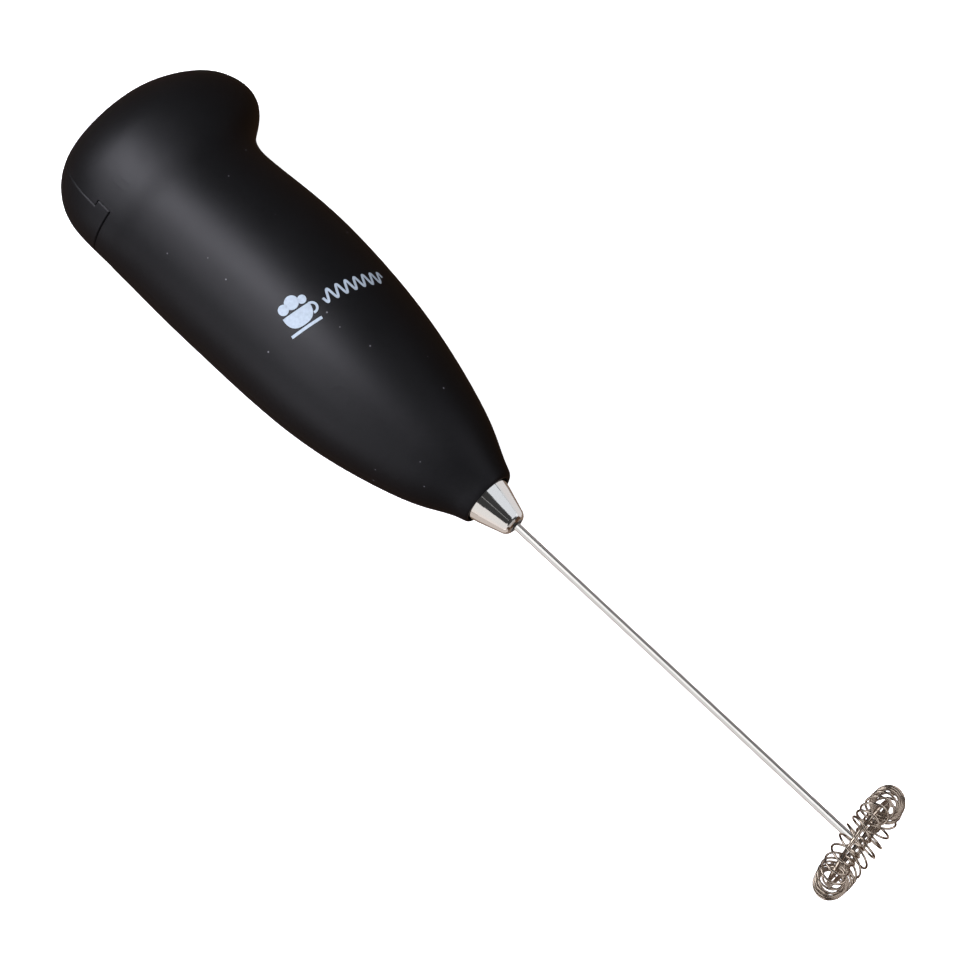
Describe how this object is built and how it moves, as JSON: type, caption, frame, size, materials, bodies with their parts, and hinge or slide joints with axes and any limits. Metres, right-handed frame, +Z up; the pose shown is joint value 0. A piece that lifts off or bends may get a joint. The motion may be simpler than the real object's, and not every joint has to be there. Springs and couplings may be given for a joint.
{
  "type": "milk frother",
  "caption": "Hand-held battery milk frother: hooked matte body, thumb rocker switch, chrome nose cone, thin rod and coil ring whisk.",
  "frame": {"origin": "bottom centre of the frother's box, as it lies on a table on its plain flank and hook", "axes": "+X along the rod from the butt to the whisk, +Z up, hook towards +Y and 22 degrees down"},
  "size_m": [0.2144, 0.0452, 0.039],
  "materials": {
    "shell_plastic": "soft-touch matte black",
    "cover_plastic": "soft-touch matte black",
    "button_plastic": "matte black",
    "pin_steel": "ground",
    "screw_steel": "zinc plated",
    "cell_case": "printed sleeve",
    "tray_plastic": "moulded, fine texture",
    "contact_plate": "nickel plated",
    "spring_steel": "nickel plated",
    "switch_strip": "bare phosphor bronze",
    "red_lead": "insulation",
    "black_lead": "insulation",
    "white_lead": "insulation",
    "motor_steel": "plated, satin",
    "end_cap_plastic": "moulded",
    "tinned_tag": "tinned",
    "magnet": "sintered ferrite",
    "core_iron": "laminated",
    "winding_copper": "enamelled copper wire",
    "commutator_copper": "turned copper",
    "shaft_steel": "ground",
    "damper_rubber": "moulded",
    "coupling_brass": "turned",
    "polished_chrome": "mirror polished",
    "bush_plastic": "moulded",
    "rod_steel": "polished",
    "whisk_wire": "bright drawn wire"
  },
  "bodies": {
    "handle": {"front_shell": "shell_plastic", "back_shell": "shell_plastic", "button_pin": "pin_steel", "case_screws": "screw_steel", "battery_cell_1": "cell_case", "battery_cell_2": "cell_case", "battery_tray": "tray_plastic", "bridge_contact": "contact_plate", "positive_contact": "contact_plate", "negative_contact": "contact_plate", "bridge_spring": "spring_steel", "negative_spring": "spring_steel", "switch_leaf": "switch_strip", "switch_contact": "switch_strip", "red_wire": "red_lead", "black_wire": "black_lead", "white_wire": "white_lead", "motor_can": "motor_steel", "motor_end_cap": "end_cap_plastic", "motor_terminals": "tinned_tag", "motor_magnets": "magnet", "motor_brushes": "switch_strip", "motor_holder": "tray_plastic", "motor_damper": "damper_rubber", "ferrule": "polished_chrome", "rod_bush": "bush_plastic"},
    "button": {"switch_button": "button_plastic"},
    "cover": {"battery_cover": "cover_plastic"},
    "whisk": {"motor_shaft": "shaft_steel", "rotor_core": "core_iron", "rotor_windings": "winding_copper", "commutator": "commutator_copper", "rod_coupling": "coupling_brass", "whisk_rod": "rod_steel", "whisk_core_ring": "whisk_wire", "whisk_coil": "whisk_wire"}
  },
  "joints": [
    {"name": "whisk_spin", "type": "hinge", "parent": "handle", "child": "whisk", "pos_m": [0.0108, -0.00498, 0.02051], "axis": [1, 0, 0], "continuous": true},
    {"name": "switch_press", "type": "hinge", "parent": "handle", "child": "button", "pos_m": [-0.0903, -0.01647, 0.02515], "axis": [0, -0.3746, -0.9272], "range_deg": [0, 4], "stiffness_Nm_per_rad": 0.3, "springref_deg": -1.15, "deforming": ["switch_leaf"]},
    {"name": "cover_release", "type": "slide", "parent": "handle", "child": "cover", "axis": [0, -0.3746, -0.9272], "range_m": [0, 0.03]}
  ]
}
